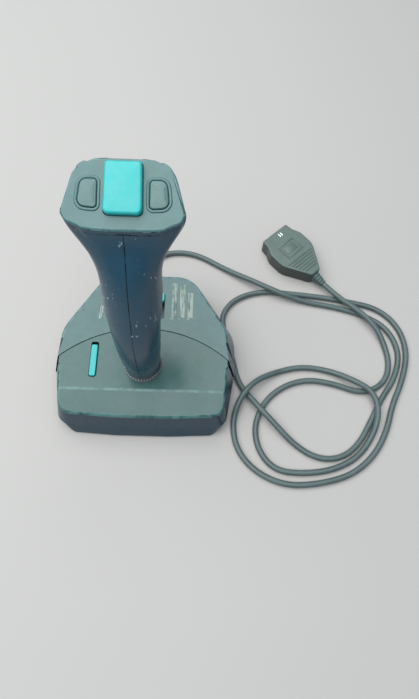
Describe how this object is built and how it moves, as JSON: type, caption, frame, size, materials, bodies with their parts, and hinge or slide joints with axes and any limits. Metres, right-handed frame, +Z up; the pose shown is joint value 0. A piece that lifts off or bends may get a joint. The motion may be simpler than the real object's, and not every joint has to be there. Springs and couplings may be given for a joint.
{
  "type": "joystick",
  "caption": "Flight-stick game controller: pistol grip with thumb buttons and trigger, tilting on a wide low base, with a lead and a multi-way plug.",
  "frame": {"origin": "middle of the base's footprint, on the surface it stands on, without the lead and plug", "axes": "+Z up, -Y towards the user, +X to the user's right; the stick stands on the X = 0 plane"},
  "size_m": [0.2758, 0.2188, 0.1865],
  "materials": {
    "dark_shell": "satin moulded plastic, dark blue-grey",
    "deck_plastic": "satin moulded plastic with a grey-green sheen, dusty",
    "grip_plastic": "semi-gloss dark navy, scratched",
    "panel_plastic": "satin grey-green, handled",
    "key_plastic": "satin grey",
    "trigger_plastic": "satin light grey",
    "teal_plastic": "bright teal, fine matt texture",
    "steel": "zinc-plated",
    "spring_steel": "bright wire",
    "contact_metal": "bright",
    "foot_rubber": "matt",
    "inner_plastic": "moulded, unpolished",
    "board": "paper laminate board",
    "switch_plastic": "moulded",
    "dome_rubber": "silicone",
    "cord_jacket": "grey flexible jacket, slightly soiled",
    "plug_plastic": "moulded-on plug, satin",
    "shroud_metal": "tin-plated steel"
  },
  "bodies": {
    "base": {"base_tray": "dark_shell", "front_deck": "deck_plastic", "rear_cover": "deck_plastic", "base_screws": "steel", "rubber_feet": "foot_rubber", "pivot_housing": "inner_plastic", "direction_contacts": "contact_metal", "base_board": "board", "slide_switches": "switch_plastic", "pivot_boot": "foot_rubber", "cord": "cord_jacket", "cord_gland": "cord_jacket", "plug_body": "plug_plastic", "plug_shroud": "shroud_metal", "plug_insert": "switch_plastic", "plug_sockets": "contact_metal", "plug_relief": "cord_jacket"},
    "gimbal": {"gimbal_ring": "inner_plastic"},
    "stick": {"stick_shaft": "steel", "centring_spring": "spring_steel", "grip_left": "grip_plastic", "grip_right": "grip_plastic", "grip_screws": "steel", "head_panel": "panel_plastic", "head_board": "board", "fire_dome": "dome_rubber", "side_dome_right": "dome_rubber", "side_dome_left": "dome_rubber", "trigger_pin": "steel", "trigger_switch": "switch_plastic", "trigger_spring": "spring_steel"},
    "fire_key": {"fire_button": "teal_plastic"},
    "right_key": {"side_button_right": "key_plastic"},
    "left_key": {"side_button_left": "key_plastic"},
    "trigger_lever": {"trigger": "trigger_plastic"},
    "auto_fire_knob": {"auto_fire_slider": "teal_plastic"},
    "mode_knob": {"mode_slider": "teal_plastic"}
  },
  "joints": [
    {"name": "side_tilt", "type": "hinge", "parent": "base", "child": "gimbal", "pos_m": [0, -0.016, 0.022], "axis": [0, 1, 0], "range_deg": [-11, 11], "stiffness_Nm_per_rad": 3, "deforming": ["pivot_boot", "centring_spring"]},
    {"name": "fore_aft_tilt", "type": "hinge", "parent": "gimbal", "child": "stick", "pos_m": [0, -0.016, 0.022], "axis": [1, 0, 0], "range_deg": [-11, 11], "stiffness_Nm_per_rad": 3, "deforming": ["pivot_boot", "centring_spring"]},
    {"name": "fire_press", "type": "slide", "parent": "stick", "child": "fire_key", "axis": [0, 0.3714, -0.9285], "range_m": [0, 0.0016], "stiffness_N_per_m": 900, "deforming": ["fire_dome"]},
    {"name": "right_press", "type": "slide", "parent": "stick", "child": "right_key", "axis": [0, 0.3714, -0.9285], "range_m": [0, 0.001], "stiffness_N_per_m": 900, "deforming": ["side_dome_right"]},
    {"name": "left_press", "type": "slide", "parent": "stick", "child": "left_key", "axis": [0, 0.3714, -0.9285], "range_m": [0, 0.001], "stiffness_N_per_m": 900, "deforming": ["side_dome_left"]},
    {"name": "trigger_pull", "type": "hinge", "parent": "stick", "child": "trigger_lever", "pos_m": [0, 0.028, 0.147], "axis": [-1, 0, 0], "range_deg": [0, 4], "stiffness_Nm_per_rad": 0.4, "deforming": ["trigger_spring"]},
    {"name": "auto_fire_slide", "type": "slide", "parent": "base", "child": "auto_fire_knob", "axis": [0, 1, 0], "range_m": [0, 0.0024]},
    {"name": "mode_slide", "type": "slide", "parent": "base", "child": "mode_knob", "axis": [0, 1, 0], "range_m": [-0.0136, 0]}
  ]
}
